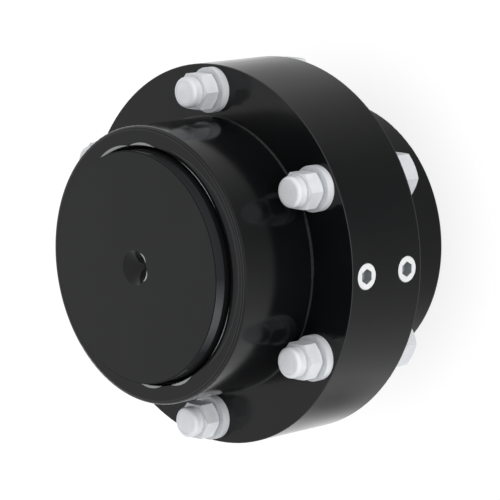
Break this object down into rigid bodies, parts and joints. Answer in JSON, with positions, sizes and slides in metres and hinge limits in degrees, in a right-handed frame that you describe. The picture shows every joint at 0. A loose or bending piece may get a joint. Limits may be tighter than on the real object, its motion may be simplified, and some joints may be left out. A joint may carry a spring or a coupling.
{
  "type": "gear coupling",
  "caption": "Flanged gear coupling: toothed hubs that float in flanged sleeves bolted together face to face, for joining two shafts in line.",
  "frame": {"origin": "centre of the lower hub's outer end face, which is the surface that the coupling stands on", "axes": "+Z along the shaft axis, from the bolt heads to the nuts; +X through a bolt, -Y through the grease plugs that face the viewer"},
  "size_m": [0.2, 0.2, 0.155],
  "materials": {
    "black_enamel": "smooth glossy black enamel on machined steel",
    "black_hub": "smooth glossy black enamel on machined steel",
    "plated_fastener": "bright zinc plated, satin",
    "bright_plug": "bright zinc plated, smooth",
    "black_rubber": "matt moulded rubber"
  },
  "bodies": {
    "sleeves": {"lower_sleeve": "black_enamel", "upper_sleeve": "black_enamel", "lower_hub_seal": "black_rubber", "upper_hub_seal": "black_rubber", "flange_seal": "black_rubber", "bolt_1": "plated_fastener", "bolt_2": "plated_fastener", "bolt_3": "plated_fastener", "bolt_4": "plated_fastener", "bolt_5": "plated_fastener", "bolt_6": "plated_fastener", "washer_1": "plated_fastener", "washer_2": "plated_fastener", "washer_3": "plated_fastener", "washer_4": "plated_fastener", "washer_5": "plated_fastener", "washer_6": "plated_fastener", "nut_1": "plated_fastener", "nut_2": "plated_fastener", "nut_3": "plated_fastener", "nut_4": "plated_fastener", "nut_5": "plated_fastener", "nut_6": "plated_fastener", "lower_plug_1": "bright_plug", "lower_plug_2": "bright_plug", "upper_plug_1": "bright_plug", "upper_plug_2": "bright_plug"},
    "lower_hub": {"lower_hub": "black_hub"},
    "upper_hub": {"upper_hub": "black_hub"}
  },
  "joints": [
    {"name": "lower_hub_float", "type": "slide", "parent": "sleeves", "child": "lower_hub", "axis": [0, 0, 1], "range_m": [-0.0118, 0]},
    {"name": "upper_hub_float", "type": "slide", "parent": "sleeves", "child": "upper_hub", "axis": [0, 0, 1], "range_m": [0, 0.004]}
  ]
}
